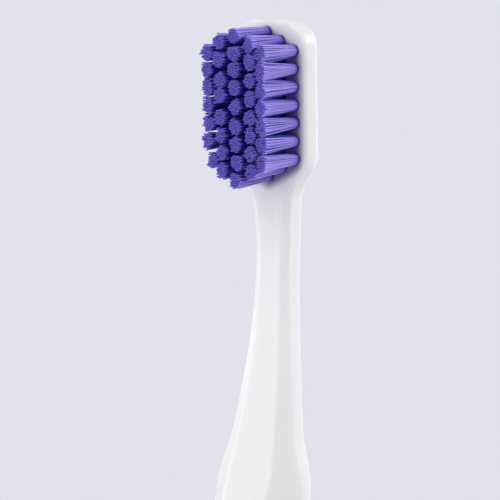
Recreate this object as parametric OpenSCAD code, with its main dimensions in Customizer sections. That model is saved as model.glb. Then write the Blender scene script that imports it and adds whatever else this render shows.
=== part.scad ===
// Manual toothbrush: one moulded handle with a drilled head, the folded bristle tufts that stand in its
// blind holes, and the flat wire anchors that pin each tuft's fold to the bottom of its hole.
// The butt stands on z = 0 with the grip's axis along +Z. The bristles face -Y, and the head leans their way.

/* [Length] */
// Length along the middle of the brush, from the butt to the tip of the head
overall_l = 186; // [150:1:220]

/* [Bristle field] */
// Distance between neighbouring tufts
tuft_pitch = 2.2; // [1.9:0.05:2.8]
// Number of tufts in the middle column
middle_count = 9; // [5:1:9]
// Diameter of each tuft hole
hole_d = 1.5; // [1.2:0.05:1.7]
// Depth of each tuft hole
hole_depth = 2.9; // [2.5:0.1:4]
// Height of the trimmed bristles above the face
bristle_h = 7.5; // [6:0.1:12]
// Diameter of a tuft where it is trimmed
tuft_tip_d = 2.02; // [1.2:0.01:2.1]
// Difference in height between the locks of a tuft
trim_scatter = 0.12; // [0:0.01:0.3]

/* [Anchors] */
// Thickness of the flat anchor wire
anchor_t = 0.25; // [0.15:0.01:0.4]
// Height of an anchor along its hole
anchor_h = 1.3; // [0.8:0.05:1.6]
// How far each end of an anchor bites into the wall of its hole
anchor_bite = 0.15; // [0.05:0.01:0.25]
// Thickness of the filament fold under the anchor
fold_t = 0.4; // [0.2:0.05:0.6]
// Turn of the anchors from the width of the head
anchor_turn = 65; // [0:5:90]

/* [Head] */
// Wall between the side columns of holes and the side of the head
side_rim = 0.99; // [0.6:0.01:2]
// Wall between the top hole and the tip of the head
tip_rim = 0.75; // [0.5:0.05:2]
// Plastic left under each tuft hole
hole_floor = 1.2; // [0.8:0.1:2]
// Length over which the tip of the head is rounded
tip_round_l = 3.3; // [2.5:0.1:4]
// Bevel round the bristle face
face_bevel = 0.26; // [0.1:0.02:0.4]
// Chamfer along the back of the head
back_chamfer = 1.2; // [0.6:0.05:1.4]
// Rounding of the back of the tip
back_round = 1.8; // [0.6:0.1:2]

/* [Neck] */
// Length from the end of the head's parallel sides to the waist
neck_l = 14.3; // [12:0.1:20]
// Width of the neck at its waist
waist_w = 4.82; // [4:0.02:6.5]
// Depth of the neck at its waist
waist_t = 4.1; // [3.4:0.1:5]
// Width of the flat front of the waist
waist_front_w = 2.92; // [2:0.02:3.4]
// Width of the flat sides of the waist
waist_side_w = 2.66; // [1.8:0.02:3]
// Angle by which the head leans to the side of its bristles
bend_angle = 10.2; // [0:0.1:14]
// Length of the bend
bend_l = 20; // [10:0.5:24]
// Diameter of the ejector mark on the front of the neck
mark_d = 2.4; // [1:0.1:2.6]
// Depth of the ejector mark
mark_depth = 0.08; // [0.02:0.01:0.2]

/* [Grip] */
// Length over which the waist swells to the grip
flare_l = 39.4; // [30:0.1:50]
// Width of the grip at its top
grip_w = 13.2; // [11:0.1:15]
// Depth of the grip at its top
grip_t = 11.2; // [10:0.1:14]
// Width of the front and back flats at the top of the grip
grip_front_w = 6; // [4.4:0.1:6.6]
// Width of the side flats at the top of the grip
grip_side_w = 3.8; // [3:0.1:5.4]
// Width of the butt
butt_w = 11.4; // [9:0.1:14]
// Depth of the butt
butt_t = 9.8; // [8:0.1:13]
// Rounding of the edge of the butt
butt_round = 0.9; // [0.3:0.1:1.4]
// Rounding of the long edges of the grip
grip_edge = 0.45; // [0.1:0.05:0.8]

/* [Hidden] */
column_pitch = tuft_pitch * sin(60);
outer_column = 2;
column_names = ["left", "inner_left", "middle", "inner_right", "right"];
columns = [-outer_column : outer_column];
hole_r = hole_d / 2;
head_t = hole_depth + hole_floor;

// Half width of the head and the distances of its tip and of its sides' lower end from the field's centre
head_half_w = outer_column * column_pitch + hole_r + side_rim;
tip_reach = (middle_count - 1) / 2 * tuft_pitch + hole_r + tip_rim;
side_end_share = 0.955;
side_reach = side_end_share * (middle_count - 1 - outer_column) / 2 * tuft_pitch;

// Stations along the middle line, measured from the butt
field_s = overall_l - tip_reach;
side_end_s = field_s - side_reach;
waist_s = side_end_s - neck_l;
grip_s = waist_s - flare_l;
bend_middle_share = 0.19;
bend_end_s = waist_s - bend_middle_share * neck_l + bend_l / 2;
bend_start_s = bend_end_s - bend_l;

// Rounding of the edges, as shares of the chamfers that they border
face_edge_share = 0.4;
back_edge_share = 0.65;
neck_edge_share = 0.35;
// What a chamfer at 45 degrees loses for each length that its octagon is drawn in all round
drawn_in_share = 2 - sqrt(2);
// Distance of the ejector mark below the foot of the bristle field, as a share of the neck's length
mark_drop_share = 0.2;
mark_s = field_s - tip_reach - mark_drop_share * neck_l;

// Clearance of a tuft's root in its hole
tuft_fit = 0.01;
tuft_r = hole_r - tuft_fit;
// Locks of one tuft: two rings of four-sided strands that fan out from the root
inner_locks = 4;
outer_locks = 8;
// How deep the locks start in the root
lock_root = 0.1;
// Each ring's inner and outer radius as shares of the tuft's, and its count of locks
ring_shares = [[0.1, 0.46, inner_locks], [0.56, 1, outer_locks]];
// How much of its turn round the tuft a lock fills
lock_turn_share = 0.84;

// Steps of the loft: between two stations, round the tip, and round each of the eight edges
blend_steps = 3;
tip_steps = 10;
edge_steps = 3;
butt_steps = 4;
overrun = 0.5;
// The tip is part of a superellipse of this power, which starts at this angle from its middle
tip_power = 2.2;
tip_start = 10;

// The shoulder from head to waist: [share of the way, share of the width lost, share of the chamfer gained]
shoulder_shares = [
    [0, 0, 0], [0.045, 0.035, 0.02], [0.095, 0.12, 0.06], [0.145, 0.27, 0.12], [0.2, 0.46, 0.22],
    [0.265, 0.65, 0.4], [0.33, 0.785, 0.6], [0.4, 0.87, 0.78], [0.56, 0.94, 0.95], [0.8, 0.985, 1], [1, 1, 1]
];
// The flare from waist to grip: [share of the way, shares gained of the width, depth, front and side flats]
flare_shares = [
    [0, 0, 0, 0, 0], [0.13, 0.065, -0.02, 0.03, -0.08], [0.26, 0.175, 0.02, 0.13, -0.05],
    [0.36, 0.285, 0.08, 0.36, -0.09], [0.43, 0.375, 0.135, 0.53, -0.12], [0.51, 0.485, 0.2, 0.69, -0.08],
    [0.575, 0.65, 0.3, 0.84, -0.1], [0.635, 0.825, 0.43, 0.97, -0.12], [0.685, 0.9, 0.58, 1.02, -0.2],
    [0.72, 0.92, 0.68, 1.02, -0.25], [0.8, 0.955, 0.84, 1.01, -0.12], [0.9, 0.985, 0.96, 1.005, 0.45],
    [1, 1, 1, 1, 1]
];

tuft_names = [for (column = columns, row = [1 : column_count(column)]) tuft_name(column, row)];

function mixed(from, to, share) = from + (to - from) * share;
// Smoothly through a table's rows: the value of one of its columns at a share of the way
function slope(table, row, field) =
    let (before = table[max(row - 1, 0)], after = table[min(row + 1, len(table) - 1)])
    (after[field] - before[field]) / (after[0] - before[0]);
function row_at(table, share, row = 0) =
    row + 2 >= len(table) || share < table[row + 1][0] ? row : row_at(table, share, row + 1);
function blend(table, field, share) =
    let (
        row = row_at(table, share),
        gap = table[row + 1][0] - table[row][0],
        u = (share - table[row][0]) / gap,
        start = table[row][field],
        end = table[row + 1][field],
        leave = row == 0 ? 0 : slope(table, row, field) * gap,
        arrive = row + 2 == len(table) ? 0 : slope(table, row + 1, field) * gap
    )
    start * (2 * u ^ 3 - 3 * u ^ 2 + 1) + leave * (u ^ 3 - 2 * u ^ 2 + u)
        + end * (3 * u ^ 2 - 2 * u ^ 3) + arrive * (u ^ 3 - u ^ 2);
// Every station of a table from its last row to its first, with the steps between them
function steps_down(table) = concat(
    [for (row = [len(table) - 1 : -1 : 1], step = [0 : blend_steps - 1])
        mixed(table[row][0], table[row - 1][0], step / blend_steps)],
    [table[0][0]]
);

// The middle line: straight grip, a short bend, and the straight neck and head that lean forward
bend_r = bend_angle == 0 ? 1 : bend_l * 180 / (PI * bend_angle);
function lean_at(s) = bend_angle * max(0, min(1, (s - bend_start_s) / bend_l));
function middle_y(s) = bend_angle == 0 ? 0 :
    -bend_r * (1 - cos(lean_at(s))) - max(0, s - bend_end_s) * sin(bend_angle);
function middle_z(s) = bend_angle == 0 ? s :
    min(s, bend_start_s) + bend_r * sin(lean_at(s)) + max(0, s - bend_end_s) * cos(bend_angle);
module along(s) translate([0, middle_y(s), middle_z(s)]) rotate([lean_at(s), 0, 0]) children();

// A section of the moulding is an octagon: its station, half width, distance to the front and to the back,
// front chamfer [across, deep], back chamfer [across, deep], and the rounding of its front and back edges
function head_section(s, half_w, front, back, chamfer, rear) = [
    s, half_w, front, back, [chamfer, chamfer], [rear, rear],
    chamfer * face_edge_share, rear * back_edge_share
];
function tip_section(step) =
    let (
        turn = mixed(tip_start, 90, step / tip_steps),
        reach = tip_round_l * (1 - (cos(turn) / cos(tip_start)) ^ (2 / tip_power)),
        width_share = sin(turn) ^ (2 / tip_power),
        front_in = max(0, face_bevel - reach),
        back_in = reach < back_round ? back_round - sqrt(back_round ^ 2 - (back_round - reach) ^ 2) : 0
    )
    head_section(overall_l - reach, head_half_w * width_share, head_t / 2 - front_in, head_t / 2 - back_in,
        face_bevel * width_share, back_chamfer * width_share);
waist_chamfer = [(waist_w - waist_front_w) / 2, (waist_t - waist_side_w) / 2];
function shoulder_depth(share) = mixed(head_t, waist_t, blend(shoulder_shares, 1, share));
function shoulder_section(share) =
    let (
        lost = blend(shoulder_shares, 1, share),
        gained = blend(shoulder_shares, 2, share),
        deep = shoulder_depth(share) / 2,
        front_chamfer = mixed([face_bevel, face_bevel], waist_chamfer, gained),
        back_chamfers = mixed([back_chamfer, back_chamfer], waist_chamfer, gained)
    )
    [
        side_end_s - share * neck_l, mixed(head_half_w, waist_w / 2, lost), deep, deep,
        front_chamfer, back_chamfers,
        mixed(face_edge_share, neck_edge_share, gained) * front_chamfer[1],
        mixed(back_edge_share, neck_edge_share, gained) * back_chamfers[1]
    ];
function flare_section(share) =
    let (
        half_w = mixed(waist_w, grip_w, blend(flare_shares, 1, share)) / 2,
        deep = mixed(waist_t, grip_t, blend(flare_shares, 2, share)) / 2,
        front_w = mixed(waist_front_w, grip_front_w, blend(flare_shares, 3, share)) / 2,
        side_w = mixed(waist_side_w, grip_side_w, blend(flare_shares, 4, share)) / 2,
        chamfer = [half_w - front_w, deep - side_w],
        edge = min(mixed(neck_edge_share * waist_chamfer[1], grip_edge, share), neck_edge_share * side_w * 2)
    )
    [waist_s - share * flare_l, half_w, deep, deep, chamfer, chamfer, edge, edge];
// The grip narrows evenly to the butt, whose edge is rounded
function butt_section(step) =
    let (
        turn = 90 * step / butt_steps,
        s = butt_round * (1 - cos(turn)),
        inset = butt_round * (1 - sin(turn)),
        width_share = mixed(butt_w / grip_w, 1, s / grip_s),
        depth_share = mixed(butt_t / grip_t, 1, s / grip_s),
        chamfer = [
            width_share * (grip_w - grip_front_w) / 2 - drawn_in_share * inset,
            depth_share * (grip_t - grip_side_w) / 2 - drawn_in_share * inset
        ],
        half_w = width_share * grip_w / 2 - inset,
        deep = depth_share * grip_t / 2 - inset
    )
    [s, half_w, deep, deep, chamfer, chamfer, grip_edge, grip_edge];

sections = concat(
    [for (step = [0 : butt_steps]) butt_section(step)],
    [for (share = steps_down(flare_shares)) flare_section(share)],
    [for (share = steps_down(shoulder_shares)) if (share < 1) shoulder_section(share)],
    [for (step = [tip_steps : -1 : 0]) tip_section(step)]
);

// Corners of an octagon from the front right, anticlockwise seen from the tip, each with its rounding
function corners(section) =
    let (w = section[1], front = -section[2], back = section[3], f = section[4], b = section[5])
    [
        [[w - f[0], front], section[6]], [[w, front + f[1]], section[6]],
        [[w, back - b[1]], section[7]], [[w - b[0], back], section[7]],
        [[b[0] - w, back], section[7]], [[-w, back - b[1]], section[7]],
        [[-w, front + f[1]], section[6]], [[f[0] - w, front], section[6]]
    ];
function towards(from, to, distance) =
    from + (to - from) * min(distance / max(norm(to - from), distance), 0.5);
// Each corner becomes a short curve between two points on its edges
function outline(section) =
    let (ring = corners(section), n = len(ring))
    [for (i = [0 : n - 1], step = [0 : edge_steps])
        let (
            here = ring[i][0],
            from = towards(here, ring[(i + n - 1) % n][0], ring[i][1]),
            to = towards(here, ring[(i + 1) % n][0], ring[i][1]),
            u = step / edge_steps
        )
        from * (1 - u) ^ 2 + here * 2 * u * (1 - u) + to * u ^ 2];
function ring_in_place(section) =
    let (s = section[0], y = middle_y(s), z = middle_z(s), lean = lean_at(s))
    [for (p = outline(section)) [p[0], y + p[1] * cos(lean), z + p[1] * sin(lean)]];

module loft(rings) {
    n = len(rings[0]);
    last = len(rings) - 1;
    sides = [for (k = [0 : last - 1], i = [0 : n - 1])
        let (a = k * n + i, b = k * n + (i + 1) % n)
        each [[a, a + n, b + n], [a, b + n, b]]];
    bottom = [for (i = [0 : n - 1]) i];
    top = [for (i = [n - 1 : -1 : 0]) last * n + i];
    polyhedron(points = [for (ring = rings) each ring], faces = concat(sides, [bottom], [top]));
}

// The bristle field: five columns in close packing, the middle one longest
function column_count(column) = middle_count - abs(column);
function tuft_name(column, row) = str("tuft_", column_names[column + outer_column], "_", row);
function hole_place(column, row) =
    [column * column_pitch, ((column_count(column) + 1) / 2 - row) * tuft_pitch];
// Into a hole's own frame: its mouth in z = 0 and its axis pointing out of the face
module at_hole(place)
    along(field_s + place[1]) translate([place[0], -head_t / 2, 0]) rotate([90, 0, 0]) children();
module at_each_hole()
    for (column = columns, row = [1 : column_count(column)]) at_hole(hole_place(column, row)) children();

module anchor_plate()
    rotate(anchor_turn)
        translate([-hole_r - anchor_bite, -anchor_t / 2, fold_t - hole_depth])
            cube([hole_d + 2 * anchor_bite, anchor_t, anchor_h]);
module tuft_hole() translate([0, 0, -hole_depth]) cylinder(r = hole_r, h = hole_depth + overrun, $fn = 32);

module ejector_mark()
    along(mark_s)
        translate([0, mark_depth - shoulder_depth((side_end_s - mark_s) / neck_l) / 2, 0])
            rotate([90, 0, 0])
                cylinder(d = mark_d, h = mark_depth + overrun, $fn = 48);

module handle() {
    color("white") difference() {
        loft([for (section = sections) ring_in_place(section)]);
        at_each_hole() {
            tuft_hole();
            anchor_plate();
        }
        ejector_mark();
    }
}

// One lock of bristles: a four-sided strand that widens with the tuft from its root to its trimmed tip
module lock(inner, outer, from, to, tip_z) {
    corner_shares = [[inner, from], [outer, from], [outer, to], [inner, to]];
    root = [for (c = corner_shares) tuft_r * c[0] * [cos(c[1]), sin(c[1])]];
    tip = [for (c = corner_shares) tuft_tip_d / 2 * c[0] * [cos(c[1]), sin(c[1])]];
    polyhedron(
        points = concat([for (p = root) [p[0], p[1], -lock_root]], [for (p = tip) [p[0], p[1], tip_z]]),
        faces = [
            [0, 1, 2], [0, 2, 3], [4, 6, 5], [4, 7, 6],
            for (i = [0 : 3]) let (j = (i + 1) % 4) each [[i, i + 4, j + 4], [i, j + 4, j]]
        ]
    );
}
// The folded root fills its hole round the anchor, and the locks stand on it
module tuft(column, row) {
    color("slateblue") at_hole(hole_place(column, row)) {
        difference() {
            translate([0, 0, -hole_depth]) cylinder(r = tuft_r, h = hole_depth, $fn = 32);
            anchor_plate();
        }
        for (ring = ring_shares, k = [0 : ring[2] - 1])
            let (
                turn = 360 / ring[2],
                from = turn * (k + row / 2),
                tip_z = bristle_h + trim_scatter / 2 * sin(turn * k * row + from * column)
            )
            lock(ring[0], ring[1], from, from + turn * lock_turn_share, tip_z);
    }
}

module anchor_wires() {
    color("silver") at_each_hole() anchor_plate();
}

handle();
anchor_wires();
for (column = columns, row = [1 : column_count(column)])
    tuft(column, row);
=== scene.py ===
"""Dresses a manual toothbrush: moulded handle, 39 tufts of violet filaments and their wire anchors."""

import math
import random

import bmesh
import bpy
from bpy.props import FloatProperty, FloatVectorProperty, IntProperty, PointerProperty
from mathutils import Matrix, Vector, geometry


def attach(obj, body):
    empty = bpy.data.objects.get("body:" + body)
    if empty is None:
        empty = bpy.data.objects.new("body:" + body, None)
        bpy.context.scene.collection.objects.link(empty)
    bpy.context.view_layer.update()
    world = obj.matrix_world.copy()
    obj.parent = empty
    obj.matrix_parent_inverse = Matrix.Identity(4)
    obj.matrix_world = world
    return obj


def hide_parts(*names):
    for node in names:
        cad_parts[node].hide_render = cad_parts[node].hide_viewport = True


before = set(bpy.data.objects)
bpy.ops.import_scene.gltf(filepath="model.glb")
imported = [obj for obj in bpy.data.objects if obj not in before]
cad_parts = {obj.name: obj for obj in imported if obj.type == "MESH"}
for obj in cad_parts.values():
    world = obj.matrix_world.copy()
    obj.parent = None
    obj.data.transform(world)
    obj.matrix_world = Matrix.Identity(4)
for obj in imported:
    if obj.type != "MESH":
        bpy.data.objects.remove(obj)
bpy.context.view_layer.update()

bl_info = {
    "name": "Manual Toothbrush",
    "version": (1, 0, 0),
    "blender": (4, 5, 0),
    "location": "View3D > Sidebar > Toothbrush",
    "description": "Finishes a moulded handle, plants its bristle tufts and sets a pale studio",
    "category": "Object",
}

MM = 0.001
BODY = "root"
TUFT_NODES = sorted(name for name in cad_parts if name.startswith("tuft_"))

# Corners of the CAD triangles that are closer than this are one corner
WELD = 0.001 * MM

# The neck bends forward over this length from this height, so that the head leans from the grip
HEAD_LEAN = math.radians(10.2)
BEND_START, BEND_LENGTH = 142.4 * MM, 20 * MM

# Directions on the head's face: across it, towards its tip, and straight out of it along a tuft
ACROSS = Vector((1, 0, 0))
UP_HEAD = Vector((0, -math.sin(HEAD_LEAN), math.cos(HEAD_LEAN)))
OUT = Vector((0, -math.cos(HEAD_LEAN), -math.sin(HEAD_LEAN)))

# The ejector mark: the middle of its floor, its radius, how far out its faces are looked for, and the
# number of rings in its softened wall
MARK = Vector((0, -3.7426, 162.083)) * MM
MARK_RADIUS = 1.2 * MM
MARK_SEARCH = 1.01 * MARK_RADIUS
MARK_RINGS = 4

# What counts as lying in a plane: how near a point is to it, and the least cosine of a face's tilt from it
LEVEL = 0.01 * MM
FLUSH = 0.999

# The head's face: the squares that it is cut into, the width of the slivers that are dissolved, and the
# width over which its painted shade fades out
FACE_STEP = 0.5 * MM
SLIVER = 0.0001 * MM
SHADE_FADE = 1 * MM

# How often the plastic's grain fits into its ripple, and how many ripples wide its clouds are
GRAIN_FINENESS, CLOUD_WIDTH = 12, 8

# Heights of the plastic's ripple and grain against its seam's, and their parts in its roughness
RIPPLE_HEIGHT, GRAIN_HEIGHT, SEAM_HEIGHT = 0.6, 0.08, 0.012 * MM
RIPPLE_ROUGHNESS, GRAIN_ROUGHNESS = 0.05, 0.08

# How closely the painted violet shade on the head's face keeps to the tufts: the power of its fade
TINT_FOCUS = 4

# How dark and how pale each finish gets against its own colour
PLASTIC_TONES, NYLON_TONES, WIRE_TONES = (0.99, 1.01), (0.90, 1.09), (0.92, 1.05)

# The streaks of a filament: their part in its tone, their length in thicknesses, their part in its
# roughness
STREAK_SHARE, STREAK_LENGTH, STREAK_ROUGHNESS = 0.2, 4, 0.1

# Painted light: where a filament starts to be painted paler, as a share of its length, and the power by
# which it does
PALE_FROM, PALE_POWER = 0.6, 2

# The frosted end: where it starts and how long it takes, as shares of the length, and its added roughness
FROST_FROM, FROST_LENGTH, FROST_ROUGHNESS = 0.985, 0.01, 0.25

# The soft light that glances off the filaments
SHEEN_ROUGHNESS, SHEEN_TINT = 0.4, (0.85, 0.8, 1.0)

# The fine marks on the drawn wire: their width, their depth, and their part in its roughness
SCRATCH_WIDTH, SCRATCH_DEPTH, SCRATCH_ROUGHNESS = 0.05 * MM, 0.003 * MM, 0.15

# Shares of a filament's length where it may bend. Its rounded end starts at the last of them
FILAMENT_RINGS = (0.06, 0.14, 0.45, 0.80, 0.88, 0.95, 0.993)

# What lies above this share of a filament's length is its end, which has this share of its thickness
END_FROM, END_SHARE = 0.999, 0.6

# The turn from each filament of a tuft to the next, which spreads them evenly
GOLDEN_ANGLE = math.radians(137.508)

# How each column's ends stand, as shares of the tip radius: their reach across the head and along it, their
# lean across it, and how much longer the side towards the edge of the head is
TIP_HABITS = {
    "left": (0.70, 0.97, -0.28, 0.14),
    "inner_left": (0.71, 0.89, -0.42, 0.0),
    "middle": (0.75, 0.88, -0.20, 0.0),
    "inner_right": (0.72, 0.93, 0.10, 0.0),
    "right": (0.68, 1.08, -0.22, 0.10),
}

# Tufts that use has pushed aside: how far across the head and up it, as shares of the tip radius
PUSHED_ASIDE = {
    "tuft_left_2": (0.0, 0.22),
    "tuft_left_3": (0.0, 0.22),
    "tuft_left_4": (0.0, 0.28),
    "tuft_left_5": (0.20, 0.35),
    "tuft_left_6": (0.05, 0.30),
    "tuft_left_7": (0.66, 0.10),
    "tuft_inner_left_1": (0.0, 0.30),
    "tuft_inner_left_2": (-0.10, 0.34),
    "tuft_inner_left_4": (-0.05, 0.28),
    "tuft_inner_left_7": (0.22, 0.0),
    "tuft_inner_left_8": (0.12, 0.05),
    "tuft_middle_3": (0.0, 0.24),
    "tuft_middle_4": (0.05, 0.24),
    "tuft_middle_5": (0.12, 0.18),
    "tuft_middle_8": (0.20, 0.0),
}

# How much tufts differ: in the reach of their ends, in their lean, and in how untidy they are
REACH_ACROSS, REACH_ALONG = (0.94, 1.06), (0.95, 1.05)
LEAN_SPREAD = 0.06
WEAR = (0.7, 1.8)

# The waves round a tuft's uneven outline: the crests of each, and their greatest height
WAVE_CRESTS, WAVE_HEIGHT = (2, 3, 4, 5), 0.12

# How far a wild filament stands out, in strays, and how it is trimmed, in scatters
WILD_STRAY, WILD_TRIM = (1, 3), (-4, 2)

# How near another hole is for its tuft to darken this one with painted shade, and how narrowly it does
NEIGHBOUR_REACH = 3.2 * MM
PAINTED_SHADE_FOCUS = 6

# How much painted shade a tuft's rim puts on its own middle, and where that rim starts and how wide it is,
# as shares of the tuft's radius
RIM_PAINTED_SHADE, RIM_FROM, RIM_WIDTH = 0.15, 0.6, 0.25

# Painted shade on the filaments: the share of the light's reach left unpainted at the ends, how much
# painted shade the mouth of a hole gets, and how soon that ends above it
OPEN_SHARE, MOUTH_PAINTED_SHADE, MOUTH_FADE = 0.1, 0.8, 1.4

# Each softbox: its strength in watts, width and height, and its azimuth and elevation in degrees
SOFTBOXES = {
    "left_softbox": (0.95, (0.5, 0.7), -80, 12),
    "front_softbox": (1.53, (0.5, 0.7), -12, 15),
    "back_softbox": (0.88, (0.5, 0.7), 165, 12),
    "high_left_softbox": (0.25, (0.5, 0.4), -45, 50),
    "high_front_softbox": (0.37, (0.5, 0.4), 20, 50),
    "high_back_softbox": (1.54, (0.5, 0.4), 125, 40),
}

# The point about half way up the brush that the softboxes look at, and how far from it they are
LAMP_AIM = Vector((0, 0, 0.09))
LAMP_DISTANCE = 0.6

# The floor's number of sides and its roughness
FLOOR_SIDES, FLOOR_ROUGHNESS = 96, 0.8

# The width in millimetres of the picture that the camera's focal length goes with
PICTURE_WIDTH = 36


def length(text, about, default):
    return FloatProperty(name=text, description=about, default=default, unit="LENGTH", precision=5)


def angle(text, about, degrees):
    return FloatProperty(name=text, description=about, default=math.radians(degrees), subtype="ANGLE")


def share(text, about, default):
    return FloatProperty(name=text, description=about, default=default, min=0, max=1, subtype="FACTOR")


def colour(text, about, default):
    return FloatVectorProperty(name=text, description=about, default=default, min=0, max=1, size=3,
        subtype="COLOR")


class HandleLook(bpy.types.PropertyGroup):
    """The finish of the moulded handle"""

    plastic: colour("Plastic", "Colour of the moulded plastic", (0.862, 0.854, 0.840))
    gloss: share("Roughness", "Roughness of the polished faces", 0.24)
    milkiness: share("Milkiness", "How much light the plastic lets under its skin", 0.8)
    depth: length("Light depth", "How far light travels under the skin", 1.8 * MM)
    ripple: length("Ripple", "Width of the faint waves that the mould leaves", 2.5 * MM)
    seam: length("Seam width", "Width of the parting line along both sides", 0.12 * MM)
    # Painted shade on the head's face: a grey painted shadow beside the tufts, drawn down the head as if by
    # light from above, and a violet painted shade between them for light that comes through the tufts
    shadow: colour("Shade", "Colour of the plastic beside the tufts, where they take most of its light",
        (0.22, 0.21, 0.29))
    tint: colour("Tinted shade",
        "Colour of the plastic between the tufts, where its light comes through them", (0.21, 0.17, 0.54))
    tint_reach: length("Tint reach", "How far outside the tufts their shade is felt", 0.55 * MM)
    tint_fall: length("Tint fall", "How far down the head light from above draws that shade", 0.7 * MM)
    mark_slope: length("Mark slope", "Width of the worn edge of the ejector mark", 0.2 * MM)
    crease: angle("Crease", "Edges sharper than this stay sharp", 32)


class BristleLook(bpy.types.PropertyGroup):
    """The filaments of every tuft"""

    nylon: colour("Nylon", "Colour of the filaments", (0.322, 0.233, 0.825))
    # Painted shade: the colour that the filaments are painted deep between the tufts and at the mouths of
    # the holes
    deep: colour("Deep nylon", "Colour of the filaments deep between the tufts", (0.009, 0.003, 0.49))
    # Painted light: the filaments are painted paler towards their ends, where more light falls
    painted_tip_light: FloatProperty(name="Painted tip light", description="How much paler a filament gets towards its end",
        default=1.35, min=1, max=3)
    frost: colour("Frosted ends", "Colour of the rounded ends", (0.132, 0.103, 0.51))
    gloss: share("Roughness", "Roughness of the filaments", 0.42)
    sheen: share("Sheen", "How much soft light glances off the filaments", 0.12)
    count: IntProperty(name="Ends", description="Filament ends in a tuft", default=92, min=7, max=400)
    sides: IntProperty(name="Sides", description="Sides of a filament", default=6, min=3, max=12)
    thickness: length("Thickness", "Diameter of a filament", 0.16 * MM)
    hole_depth: length("Hole depth", "Depth of a tuft's hole", 2.9 * MM)
    start: length("Start", "How deep in the hole the single filaments start", 0.45 * MM)
    overlap: length("Overlap", "How far the filaments run into the folded root", 0.1 * MM)
    trim: length("Height", "Height of the trimmed bristles above the face", 7.5 * MM)
    root: length("Root radius", "Radius of a tuft at the mouth of its hole", 0.74 * MM)
    tip: length("Tip radius", "Radius of a tuft where it is trimmed", 1.0 * MM)
    scatter: length("Trim scatter", "Spread of the heights of the ends", 0.06 * MM)
    stray: length("Stray", "Spread of the ends about their even places", 0.04 * MM)
    wild: share("Wild ends", "Share of the filaments that stand out of their tuft", 0.06)
    bow: length("Bow", "How far a filament bends from a straight line", 0.02 * MM)
    reach: length("Light reach", "How far below the ends light gets in between the tufts", 0.7 * MM)


class AnchorLook(bpy.types.PropertyGroup):
    """The flat wire anchors in the head"""

    metal: colour("Wire", "Colour of the wire", (0.80, 0.72, 0.52))
    gloss: share("Roughness", "Roughness of the drawn wire", 0.3)


class StageLook(bpy.types.PropertyGroup):
    """The pale studio and its camera"""

    backdrop: colour("Backdrop", "Colour behind the object", (0.760, 0.756, 0.837))
    floor: length("Floor radius", "Radius of the floor", 2.0)
    near: length("Near radius", "Where the floor starts to fade into the backdrop", 0.1)
    far: length("Far radius", "Where only the backdrop is left of the floor", 0.45)
    ambient: FloatProperty(name="Ambient", description="Strength of the even light", default=0.42, min=0)
    azimuth: angle("Azimuth", "Turn of the camera from the bristles' side", 32.16)
    elevation: angle("Elevation", "Height of the camera above the horizon", -1.23)
    roll: angle("Roll", "Turn of the picture about its middle", 4.56)
    distance: length("Distance", "From the camera to the point that it aims at", 330 * MM)
    lens: FloatProperty(name="Lens", description="Focal length for a picture 36 mm wide", default=193.7)
    aim: FloatVectorProperty(name="Aim", description="The point in the middle of the picture", size=3,
        subtype="TRANSLATION", default=(-0.83 * MM, -6.22 * MM, 157.0 * MM))


class Toothbrush(bpy.types.PropertyGroup):
    """All settings of the toothbrush"""

    handle: PointerProperty(type=HandleLook, name="Handle", description="Finish of the handle")
    bristles: PointerProperty(type=BristleLook, name="Bristles", description="Filaments of the tufts")
    anchors: PointerProperty(type=AnchorLook, name="Anchors", description="Wire anchors")
    stage: PointerProperty(type=StageLook, name="Stage", description="Studio and camera")


class Value:
    """One output of a node. Arithmetic on it adds the Math nodes that work it out."""

    def __init__(self, nodes, socket):
        self.nodes = nodes
        self.socket = socket

    def math(self, operation, *others):
        return self.nodes.add("ShaderNodeMath", {"operation": operation}, [self, *others])

    def __add__(self, other):
        return self.math("ADD", other)

    def __sub__(self, other):
        return self.math("SUBTRACT", other)

    def __rsub__(self, other):
        return self.nodes.add("ShaderNodeMath", {"operation": "SUBTRACT"}, [other, self])

    def __mul__(self, other):
        return self.math("MULTIPLY", other)

    def __truediv__(self, other):
        return self.math("DIVIDE", other)

    def __pow__(self, other):
        return self.math("POWER", other)

    __radd__ = __add__
    __rmul__ = __mul__

    def clamped(self):
        return self.nodes.add("ShaderNodeClamp", {}, [self])


class Nodes:
    """The nodes of a material or of the world."""

    def __init__(self, tree):
        self.nodes = tree.nodes
        self.links = tree.links

    def put(self, socket, value):
        """Gives a socket a number or colour, or the output of another node"""
        if isinstance(value, Value):
            self.links.new(value.socket, socket)
        else:
            socket.default_value = value

    def add(self, kind, settings, sockets, output=0):
        """Adds a node: its settings first, then the values or links of its sockets"""
        node = self.nodes.new(kind)
        for key, setting in settings.items():
            setattr(node, key, setting)
        pairs = sockets.items() if isinstance(sockets, dict) else enumerate(sockets)
        for key, value in pairs:
            self.put(node.inputs[key], value)
        return Value(self, node.outputs[output])

    def seen(self):
        """1 for a ray that shows the background: from the camera, off a reflection or through glass"""
        rays = ("Is Camera Ray", "Is Glossy Ray", "Is Transmission Ray")
        camera, glossy, glass = (self.add("ShaderNodeLightPath", {}, {}, ray) for ray in rays)
        return (camera + glossy + glass).clamped()


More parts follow.
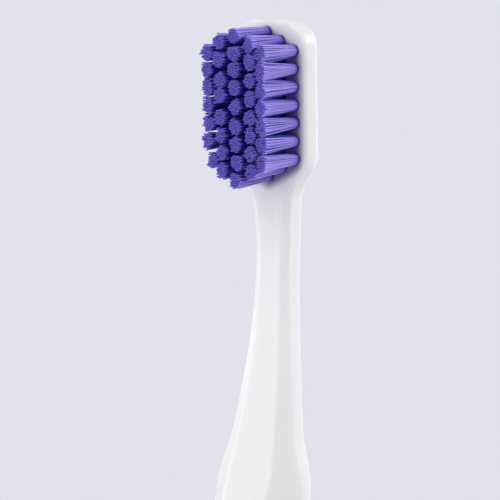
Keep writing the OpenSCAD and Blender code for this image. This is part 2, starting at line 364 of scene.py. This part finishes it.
class Finish(Nodes):
    """A material and its nodes."""

    def __init__(self, name):
        self.material = bpy.data.materials.new(name)
        self.material.use_nodes = True
        super().__init__(self.material.node_tree)
        self.shader = self.nodes["Principled BSDF"]
        self.surface = self.nodes["Material Output"].inputs["Surface"]

    def shade(self, **sockets):
        """Sets sockets of the main shader, such as base_color or roughness"""
        for key, value in sockets.items():
            self.put(self.shader.inputs[key.replace("_", " ").title().replace("Ior", "IOR")], value)

    def place(self):
        return self.add("ShaderNodeTexCoord", {}, {}, "Object")

    def attribute(self, name):
        return self.add("ShaderNodeAttribute", {"attribute_name": name}, {}, "Fac")

    def noise(self, place, period, detail=2.0):
        sockets = {"Vector": place, "Scale": 1 / period, "Detail": detail}
        return self.add("ShaderNodeTexNoise", {}, sockets, "Fac")

    def mix(self, factor, first, second):
        return self.add("ShaderNodeMix", {"data_type": "RGBA"}, {"Factor": factor, 6: first, 7: second}, 2)

    def varied(self, factor, rgb, tones):
        """A colour that goes from the first of its tones to the second"""
        return self.mix(factor, rgba(rgb, tones[0]), rgba(rgb, tones[1]))

    def bump(self, height, distance):
        return self.add("ShaderNodeBump", {}, {"Height": height, "Distance": distance})


def rgba(rgb, gain=1.0):
    """A colour as the sockets take it, each part of it times the gain and at most 1"""
    return (*(min(1.0, part * gain) for part in rgb), 1.0)


def settings():
    return bpy.context.scene.toothbrush


def placed(name, data):
    """Puts a new object with its data in the scene, at the origin"""
    piece = bpy.data.objects.new(name, data)
    bpy.context.scene.collection.objects.link(piece)
    return piece


def mesh_of(name, bm):
    """Makes a mesh of a finished bmesh, which is then freed"""
    mesh = bpy.data.meshes.new(name)
    bm.to_mesh(mesh)
    bm.free()
    return mesh


def seated(name, bm, finish):
    """Makes a piece of a finished bmesh, smooth shaded, with its material"""
    mesh = mesh_of(name, bm)
    if "custom_normal" in mesh.attributes:
        mesh.attributes.remove(mesh.attributes["custom_normal"])
    for polygon in mesh.polygons:
        polygon.use_smooth = True
    mesh.materials.append(finish)
    return placed(name, mesh)


def merged(node):
    """A copy of a CAD node with its loose triangles joined"""
    bm = bmesh.new()
    bm.from_mesh(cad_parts[node].data)
    bmesh.ops.remove_doubles(bm, verts=bm.verts, dist=WELD)
    return bm


def everything(bm):
    """All that a plane can cut in a bmesh"""
    return [*bm.verts, *bm.edges, *bm.faces]


def of_kind(parts, kind):
    """The vertices, the edges or the faces among the parts that an operator gives back"""
    return [part for part in parts if isinstance(part, kind)]


def white_plastic(look):
    """Glossy, slightly milky plastic with the faint waves of its mould, a fine parting line, and painted
    shade beside and between the tufts
    """
    finish = Finish("white_plastic")
    place = finish.place()
    ripple = finish.noise(place, look.ripple)
    grain = finish.noise(place, look.ripple / GRAIN_FINENESS, detail=1.0)
    cloud = finish.noise(place, look.ripple * CLOUD_WIDTH)
    seam = finish.attribute("parting") / (look.seam / 2)
    ridge = (1 - seam.math("ABSOLUTE")).clamped()
    open_plastic = finish.varied(cloud, look.plastic, PLASTIC_TONES)
    # Painted shade: a grey painted shadow beside and below the tufts, and a violet painted shade between
    # them
    shaded_plastic = finish.mix(finish.attribute("painted_shade"), open_plastic, rgba(look.shadow))
    finish.shade(
        base_color=finish.mix(finish.attribute("among") ** TINT_FOCUS, shaded_plastic, rgba(look.tint)),
        roughness=look.gloss + (grain - 0.5) * GRAIN_ROUGHNESS + (ripple - 0.5) * RIPPLE_ROUGHNESS,
        normal=finish.bump(ripple * RIPPLE_HEIGHT + grain * GRAIN_HEIGHT + ridge, SEAM_HEIGHT),
        subsurface_weight=look.milkiness,
        subsurface_scale=look.depth,
        subsurface_radius=(1.0, 1.0, 1.0),
        ior=1.5,
    )
    return finish.material


def violet_nylon(look):
    """Dyed nylon, each filament in its own tone and with a frosted end. Each filament is painted paler
    towards its end as painted light, and painted dark deep between the tufts and at the mouths of the holes
    as painted shade"""
    finish = Finish("violet_nylon")
    tone = finish.attribute("tone")
    along = finish.attribute("along")
    streak = finish.noise(finish.place(), look.thickness * STREAK_LENGTH)
    dyed = finish.varied(tone * (1 - STREAK_SHARE) + streak * STREAK_SHARE, look.nylon, NYLON_TONES)
    # Painted light: each filament is painted paler towards its end
    pale = ((along - PALE_FROM) / (1 - PALE_FROM)).clamped() ** PALE_POWER
    tip_lit_nylon = finish.mix(pale, dyed, rgba(look.nylon, look.painted_tip_light))
    end = ((along - FROST_FROM) / FROST_LENGTH).clamped()
    open_nylon = finish.mix(end, tip_lit_nylon, rgba(look.frost))
    # Painted shade: the filaments are painted dark deep between the tufts and at the mouths of the holes
    finish.shade(
        base_color=finish.mix(finish.attribute("painted_shade"), open_nylon, rgba(look.deep)),
        roughness=look.gloss + end * FROST_ROUGHNESS + (streak - 0.5) * STREAK_ROUGHNESS,
        ior=1.53,
        specular_ior_level=0.6,
        sheen_weight=look.sheen,
        sheen_roughness=SHEEN_ROUGHNESS,
        sheen_tint=rgba(SHEEN_TINT),
    )
    return finish.material


def drawn_wire(look):
    """Metal wire with the fine marks of its drawing"""
    finish = Finish("drawn_wire")
    scratches = finish.noise(finish.place(), SCRATCH_WIDTH)
    finish.shade(
        base_color=finish.varied(scratches, look.metal, WIRE_TONES),
        metallic=1.0,
        roughness=look.gloss + (scratches - 0.5) * SCRATCH_ROUGHNESS,
        normal=finish.bump(scratches, SCRATCH_DEPTH),
    )
    return finish.material


def smooth(part):
    """Eases a part of a whole from 0 to 1"""
    part = min(1.0, max(0.0, part))
    return part * part * (3 - 2 * part)


def filament(look):
    """One straight filament that runs from 0 to 1 along Z, with a rounded end"""
    bm = bmesh.new()
    radius = look.thickness / 2
    bmesh.ops.create_cone(bm, cap_ends=True, segments=look.sides, radius1=radius, radius2=radius, depth=1,
        matrix=Matrix.Translation((0, 0, 0.5)))
    for height in FILAMENT_RINGS:
        bmesh.ops.bisect_plane(bm, geom=everything(bm), plane_co=(0, 0, height), plane_no=(0, 0, 1))
    for vert in bm.verts:
        if vert.co.z > END_FROM:
            vert.co.xy *= END_SHARE
    return mesh_of("filament", bm)


def mouth_of(node, look):
    """The middle of the mouth of the hole that holds a CAD tuft"""
    depths = [(vert.co.dot(OUT), vert.co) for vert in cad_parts[node].data.vertices]
    deepest = min(depth for depth, _ in depths)
    floor = [co for depth, co in depths if depth < deepest + LEVEL]
    across = [co.x for co in floor]
    upward = [co.dot(UP_HEAD) for co in floor]
    return (
        Vector(((min(across) + max(across)) / 2, 0, 0))
        + UP_HEAD * (min(upward) + max(upward)) / 2
        + OUT * (deepest + look.hole_depth)
    )


class Tuft:
    """The place of one tuft and the habits of its filaments"""

    def __init__(self, node, look):
        self.look = look
        self.node = node
        self.random = random.Random(node)
        self.mouth = mouth_of(node, look)
        wide, long, lean, flare = TIP_HABITS[node.removeprefix("tuft_").rsplit("_", 1)[0]]
        spread = self.random.uniform
        self.turn = spread(0, math.tau)
        self.wear = spread(*WEAR)
        self.reach = Vector((wide * spread(*REACH_ACROSS), long * spread(*REACH_ALONG))) * look.tip
        aside, raised = PUSHED_ASIDE.get(node, (0.0, 0.0))
        across = lean + aside + spread(-LEAN_SPREAD, LEAN_SPREAD)
        upward = raised + spread(-LEAN_SPREAD, LEAN_SPREAD)
        self.lean = Vector((across, upward)) * look.tip
        self.flare = math.copysign(flare, self.mouth.x)
        self.waves = [(crests, spread(0, WAVE_HEIGHT), spread(0, math.tau)) for crests in WAVE_CRESTS]
        self.neighbours = []

    def meet(self, tufts):
        """Finds the directions of the tufts next to this one"""
        for other in tufts:
            step = other.mouth - self.mouth
            if 0 < step.length < NEIGHBOUR_REACH:
                self.neighbours.append(Vector((step.x, step.dot(UP_HEAD))).normalized())

    def painted_shade(self, ring, outward):
        """How much a filament's place is shut in, from 0 at the edge of the field to 1 between tufts, for
        its painted shade
        """
        beside = min(1.0, sum(max(0.0, outward.dot(side)) ** PAINTED_SHADE_FOCUS for side in self.neighbours))
        inside = 1 - smooth((ring - RIM_FROM) / RIM_WIDTH)
        return beside + (1 - beside) * inside * RIM_PAINTED_SHADE

    def end_place(self, ring, turn):
        """Where a filament ends, at a share of the tuft's reach and a turn about its middle"""
        uneven = 1 + sum(size * math.cos(crests * turn + phase) for crests, size, phase in self.waves)
        across, along = ring * uneven * math.cos(turn), ring * uneven * math.sin(turn)
        return self.lean + self.reach * Vector((across, along * (1 + self.flare * across)))

    def world(self, across, height):
        """From the tuft's own place, across its axis and along it, to the place in the frame"""
        return self.mouth + ACROSS * across.x + UP_HEAD * across.y + OUT * height


class Strand:
    """One filament of a tuft: where it leaves the hole and where it ends"""

    def __init__(self, tuft, index):
        look, rng = tuft.look, tuft.random
        ring = math.sqrt((index + 0.5) / look.count)
        turn = index * GOLDEN_ANGLE + tuft.turn
        outward = Vector((math.cos(turn), math.sin(turn)))
        self.root = outward * ring * (look.root - look.thickness / 2)
        self.tip = tuft.end_place(ring, turn) + self.scattered(rng) * look.stray * tuft.wear
        self.end = look.trim + rng.gauss(0, 1) * look.scatter
        if rng.random() < look.wild * tuft.wear:
            self.tip += outward * rng.uniform(*WILD_STRAY) * look.stray
            self.end += rng.uniform(*WILD_TRIM) * look.scatter
        self.bow = self.scattered(rng) * look.bow
        self.start = -look.start
        self.tone = rng.random()
        self.closed = tuft.painted_shade(ring, outward)
        self.reach = look.reach

    @staticmethod
    def scattered(rng):
        return Vector((rng.gauss(0, 1), rng.gauss(0, 1)))

    def line(self, along):
        """The middle of the filament at a share of its length, across the tuft and along it"""
        height = self.start + (self.end - self.start) * along
        above = max(0.0, height / self.end)
        across = self.root.lerp(self.tip, above) + self.bow * math.sin(math.pi * above)
        return across, height

    def painted_shade(self, height):
        """How much painted shade a height gets, deep between tufts and at the mouth of the hole, where
        little light gets
        """
        deep = self.closed * smooth((self.end - height) / self.reach - OPEN_SHARE)
        return max(deep, MOUTH_PAINTED_SHADE - MOUTH_PAINTED_SHADE * smooth(height / self.reach * MOUTH_FADE))


def folded_root(tuft):
    """The part of the CAD tuft that stays below the start of the single filaments"""
    bm = merged(tuft.node)
    top = tuft.world(Vector((0, 0)), tuft.look.overlap - tuft.look.start)
    cut = bmesh.ops.bisect_plane(bm, geom=everything(bm), plane_co=top, plane_no=OUT, clear_outer=True)
    bmesh.ops.edgeloop_fill(bm, edges=of_kind(cut["geom_cut"], bmesh.types.BMEdge))
    return mesh_of("root", bm)


def plant_tuft(tuft, one, finish):
    """Grows the filaments of a tuft from the folded root of its CAD node"""
    look = tuft.look
    bm = bmesh.new()
    for _ in range(look.count):
        bm.from_mesh(one)
    tone = bm.verts.layers.float.new("tone")
    along = bm.verts.layers.float.new("along")
    painted_shade = bm.verts.layers.float.new("painted_shade")
    strands = [Strand(tuft, index) for index in range(look.count)]
    for index, vert in enumerate(bm.verts):
        strand = strands[index // len(one.vertices)]
        vert[tone] = strand.tone
        vert[along] = vert.co.z
        across, height = strand.line(vert.co.z)
        # Painted shade, darkest deep between the tufts and at the mouth of the hole
        vert[painted_shade] = strand.painted_shade(height)
        vert.co = tuft.world(across + vert.co.xy, height)
    root = folded_root(tuft)
    bm.from_mesh(root)
    bpy.data.meshes.remove(root)
    bmesh.ops.recalc_face_normals(bm, faces=bm.faces)
    piece = seated(tuft.node.replace("tuft", "bristles"), bm, finish)
    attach(piece, BODY)
    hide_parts(tuft.node)


def behind_middle(place):
    """How far a point lies behind the middle line of the brush, which bends forward below the head"""
    radius = BEND_LENGTH / HEAD_LEAN
    away = Vector((place.y + radius, place.z - BEND_START))
    turn = min(max(0.0, math.atan2(away.y, away.x)), HEAD_LEAN)
    return away.dot(Vector((math.cos(turn), math.sin(turn)))) - radius


def soften_mark(bm, slope):
    """Gives the shallow mark that the mould's ejector pin leaves below the bristles a wall in a soft S"""
    hollow = [face for face in bm.faces
        if all((vert.co - MARK).length < MARK_SEARCH for vert in face.verts)]
    bmesh.ops.delete(bm, geom=hollow, context="FACES")
    ring = [edge for edge in bm.edges if edge.is_boundary]
    upright = Matrix.Rotation(-HEAD_LEAN, 4, "X") @ Matrix.Translation(-MARK)
    radius, height = MARK_RADIUS, 1.0
    for step in range(1, MARK_RINGS + 1):
        inner, lower = MARK_RADIUS - slope * (step / MARK_RINGS), 1 - smooth(step / MARK_RINGS)
        parts = bmesh.ops.extrude_edge_only(bm, edges=ring)["geom"]
        ring = of_kind(parts, bmesh.types.BMEdge)
        bmesh.ops.scale(bm, vec=(inner / radius, lower / height, inner / radius), space=upright,
            verts=of_kind(parts, bmesh.types.BMVert))
        radius, height = inner, lower
    bmesh.ops.edgeloop_fill(bm, edges=ring)
    bmesh.ops.recalc_face_normals(bm, faces=bm.faces)


class BristleField:
    """The part of the head's face that the tufts stand on"""

    def __init__(self, bristles, reach, fall):
        self.mouths = [mouth_of(node, bristles) for node in TUFT_NODES]
        self.radius, self.reach = bristles.root, reach
        flat = [self.flat(mouth) for mouth in self.mouths]
        corners = [flat[index] for index in geometry.convex_hull_2d(flat)]
        self.edges = list(zip(corners, corners[1:] + corners[:1]))
        margin = self.radius + reach + fall
        self.low = Vector(map(min, zip(*flat))) - Vector((margin, margin))
        self.high = Vector(map(max, zip(*flat))) + Vector((margin, margin))

    @staticmethod
    def flat(place):
        return Vector((place.x, place.dot(UP_HEAD)))

    def height(self, place):
        """How far a place is in front of the head's face"""
        return (place - self.mouths[0]).dot(OUT)

    def holds(self, face):
        """Whether a face lies in the head's face and near the tufts"""
        middle = face.calc_center_median()
        place = self.flat(middle)
        level = abs(self.height(middle)) < LEVEL and face.normal.dot(OUT) > FLUSH
        return level and self.low.x < place.x < self.high.x and self.low.y < place.y < self.high.y

    def cut(self, bm, step):
        """Cuts the face into small squares, so that a painted shade can follow the tufts"""
        for corner in (self.low, self.high):
            self.cut_line(bm, bm.faces, corner.x, ACROSS)
            self.cut_line(bm, bm.faces, corner.y, UP_HEAD)
        bm.normal_update()
        faces = [face for face in bm.faces if self.holds(face)]
        sides = ((self.low.x, self.high.x, ACROSS), (self.low.y, self.high.y, UP_HEAD))
        for low, high, direction in sides:
            for index in range(1, int((high - low) / step) + 1):
                faces = self.cut_line(bm, faces, low + index * step, direction)
        bmesh.ops.dissolve_degenerate(bm, dist=SLIVER, edges=bm.edges)

    @staticmethod
    def cut_line(bm, faces, distance, direction):
        """Cuts faces along a line at a distance in a direction, and gives back what they have become"""
        edges = {edge for face in faces for edge in face.edges}
        verts = {vert for edge in edges for vert in edge.verts}
        cut = bmesh.ops.bisect_plane(bm, geom=[*verts, *edges, *faces], plane_co=direction * distance,
            plane_no=direction)
        return of_kind(cut["geom"], bmesh.types.BMFace)

    def shade(self, place, fall=0.0):
        """How far a place is among the tufts, moved down by the fall: from 0 outside them to 1. It sets the
        painted shade there
        """
        if abs(self.height(place)) > LEVEL:
            return 0.0
        flat = self.flat(place) + Vector((0, fall))
        if all((end - start).cross(flat - start) >= 0 for start, end in self.edges):
            return 1.0
        nearest = min((self.closest(flat, start, end) - flat).length for start, end in self.edges)
        return min(1.0, max(0.0, (self.reach + self.radius - nearest) / SHADE_FADE))

    @staticmethod
    def closest(place, start, end):
        """The point of a line from its start to its end that is nearest to a place"""
        point, along = geometry.intersect_point_line(place, start, end)
        return start if along < 0 else end if along > 1 else point.to_2d()


class TOOTHBRUSH_OT_handle(bpy.types.Operator):
    """Finish the moulded handle: soften its mark and give it glossy white plastic with painted shade around
    the tufts
    """

    bl_idname = "toothbrush.handle"
    bl_label = "Mould Handle"

    def execute(self, context):
        look = settings().handle
        bm = merged("handle")
        soften_mark(bm, look.mark_slope)
        parting = bm.verts.layers.float.new("parting")
        painted_shade = bm.verts.layers.float.new("painted_shade")
        among = bm.verts.layers.float.new("among")
        field = BristleField(settings().bristles, look.tint_reach, look.tint_fall)
        field.cut(bm, FACE_STEP)
        for vert in bm.verts:
            vert[parting] = behind_middle(vert.co)
            # Painted shade: one mask drawn down the head for the grey painted shadow, one for the violet
            # painted shade
            vert[painted_shade] = field.shade(vert.co, look.tint_fall)
            vert[among] = field.shade(vert.co)
        piece = seated("moulded_handle", bm, white_plastic(look))
        piece.data.set_sharp_from_angle(angle=look.crease)
        normals = piece.modifiers.new("flat_faces", "WEIGHTED_NORMAL")
        normals.keep_sharp = True
        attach(piece, BODY)
        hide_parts("handle")
        return {"FINISHED"}


class TOOTHBRUSH_OT_bristles(bpy.types.Operator):
    """Plant a tuft of single filaments in every hole of the head"""

    bl_idname = "toothbrush.bristles"
    bl_label = "Plant Bristles"

    def execute(self, context):
        look = settings().bristles
        one = filament(look)
        finish = violet_nylon(look)
        tufts = [Tuft(node, look) for node in TUFT_NODES]
        for tuft in tufts:
            tuft.meet(tufts)
            plant_tuft(tuft, one, finish)
        bpy.data.meshes.remove(one)
        return {"FINISHED"}


class TOOTHBRUSH_OT_anchors(bpy.types.Operator):
    """Give the wire anchors in the head their metal"""

    bl_idname = "toothbrush.anchors"
    bl_label = "Finish Anchors"

    def execute(self, context):
        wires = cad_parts["anchor_wires"]
        wires.data.materials.clear()
        wires.data.materials.append(drawn_wire(settings().anchors))
        return {"FINISHED"}


def towards(azimuth, elevation):
    """The direction from the brush to something at an azimuth from the bristles' side and an elevation"""
    level = math.cos(elevation)
    return Vector((math.sin(azimuth) * level, -math.cos(azimuth) * level, math.sin(elevation)))


def softbox(name, strength, size, azimuth, elevation):
    """A rectangular lamp that looks at the brush from a direction in degrees"""
    lamp = bpy.data.lights.new(name, "AREA")
    lamp.shape = "RECTANGLE"
    lamp.size, lamp.size_y = size
    lamp.energy = strength
    back = towards(math.radians(azimuth), math.radians(elevation))
    box = placed(name, lamp)
    box.location = LAMP_AIM + back * LAMP_DISTANCE
    box.rotation_euler = back.to_track_quat("Z", "Y").to_euler()


def light_world(look):
    """Even light on the object, and the backdrop's own colour wherever it is seen"""
    world = bpy.data.worlds.new("studio")
    world.use_nodes = True
    bpy.context.scene.world = world
    studio = Nodes(world.node_tree)
    studio.nodes.remove(studio.nodes["Background"])
    light = studio.add("ShaderNodeBackground", {}, {"Color": (1, 1, 1, 1), "Strength": look.ambient})
    backdrop = studio.add("ShaderNodeBackground", {}, {"Color": rgba(look.backdrop)})
    mixed = studio.add("ShaderNodeMixShader", {}, [studio.seen(), light, backdrop])
    studio.put(studio.nodes["World Output"].inputs["Surface"], mixed)


def lay_floor(look):
    """A round floor that fades into the backdrop"""
    finish = Finish("pale_floor")
    away = finish.add("ShaderNodeVectorMath", {"operation": "LENGTH"}, [finish.place()], "Value")
    fade = ((away - look.near) / (look.far - look.near)).clamped()
    glow = finish.add("ShaderNodeEmission", {}, {"Color": rgba(look.backdrop)}, "Emission")
    finish.shade(base_color=rgba(look.backdrop), roughness=FLOOR_ROUGHNESS)
    lit = Value(finish, finish.shader.outputs[0])
    finish.put(finish.surface, finish.add("ShaderNodeMixShader", {}, [fade * finish.seen(), lit, glow]))
    bm = bmesh.new()
    bmesh.ops.create_circle(bm, cap_ends=True, segments=FLOOR_SIDES, radius=look.floor)
    floor = seated("floor", bm, finish.material)


def place_camera(look):
    """The camera at the photograph's viewing angle"""
    lens = bpy.data.cameras.new("camera")
    lens.lens = look.lens
    lens.sensor_width = PICTURE_WIDTH
    back = towards(look.azimuth, look.elevation)
    right = Vector((math.cos(look.azimuth), math.sin(look.azimuth), 0))
    level = Matrix((right, back.cross(right), back)).transposed().to_4x4()
    camera = placed("camera", lens)
    camera.matrix_world = (
        Matrix.Translation(Vector(look.aim) + back * look.distance)
        @ level
        @ Matrix.Rotation(look.roll, 4, "Z")
    )
    bpy.context.scene.camera = camera


class TOOTHBRUSH_OT_stage(bpy.types.Operator):
    """Set the pale studio: floor, backdrop, softboxes and camera"""

    bl_idname = "toothbrush.stage"
    bl_label = "Set Stage"

    def execute(self, context):
        look = settings().stage
        light_world(look)
        lay_floor(look)
        for name, habits in SOFTBOXES.items():
            softbox(name, *habits)
        place_camera(look)
        return {"FINISHED"}


class TOOTHBRUSH_PT_panel(bpy.types.Panel):
    """Makes and lists the pieces of the toothbrush"""

    bl_idname = "TOOTHBRUSH_PT_panel"
    bl_label = "Toothbrush"
    bl_space_type = "VIEW_3D"
    bl_region_type = "UI"
    bl_category = "Toothbrush"

    def draw(self, context):
        for operator, group in STEPS:
            self.layout.operator(operator.bl_idname)
            look = getattr(settings(), group)
            for name in look.bl_rna.properties.keys():
                if name not in ("name", "rna_type"):
                    self.layout.prop(look, name)


STEPS = (
    (TOOTHBRUSH_OT_handle, "handle"),
    (TOOTHBRUSH_OT_bristles, "bristles"),
    (TOOTHBRUSH_OT_anchors, "anchors"),
    (TOOTHBRUSH_OT_stage, "stage"),
)
CLASSES = (
    HandleLook,
    BristleLook,
    AnchorLook,
    StageLook,
    Toothbrush,
    *(operator for operator, _ in STEPS),
    TOOTHBRUSH_PT_panel,
)


def register():
    for each in CLASSES:
        bpy.utils.register_class(each)
    bpy.types.Scene.toothbrush = PointerProperty(type=Toothbrush, name="Toothbrush", description="Settings")


def unregister():
    del bpy.types.Scene.toothbrush
    for each in reversed(CLASSES):
        bpy.utils.unregister_class(each)


def main():
    register()
    bpy.context.scene.view_settings.view_transform = "Standard"
    bpy.ops.toothbrush.stage()
    bpy.ops.toothbrush.handle()
    bpy.ops.toothbrush.bristles()
    bpy.ops.toothbrush.anchors()


if __name__ == "__main__":
    main()
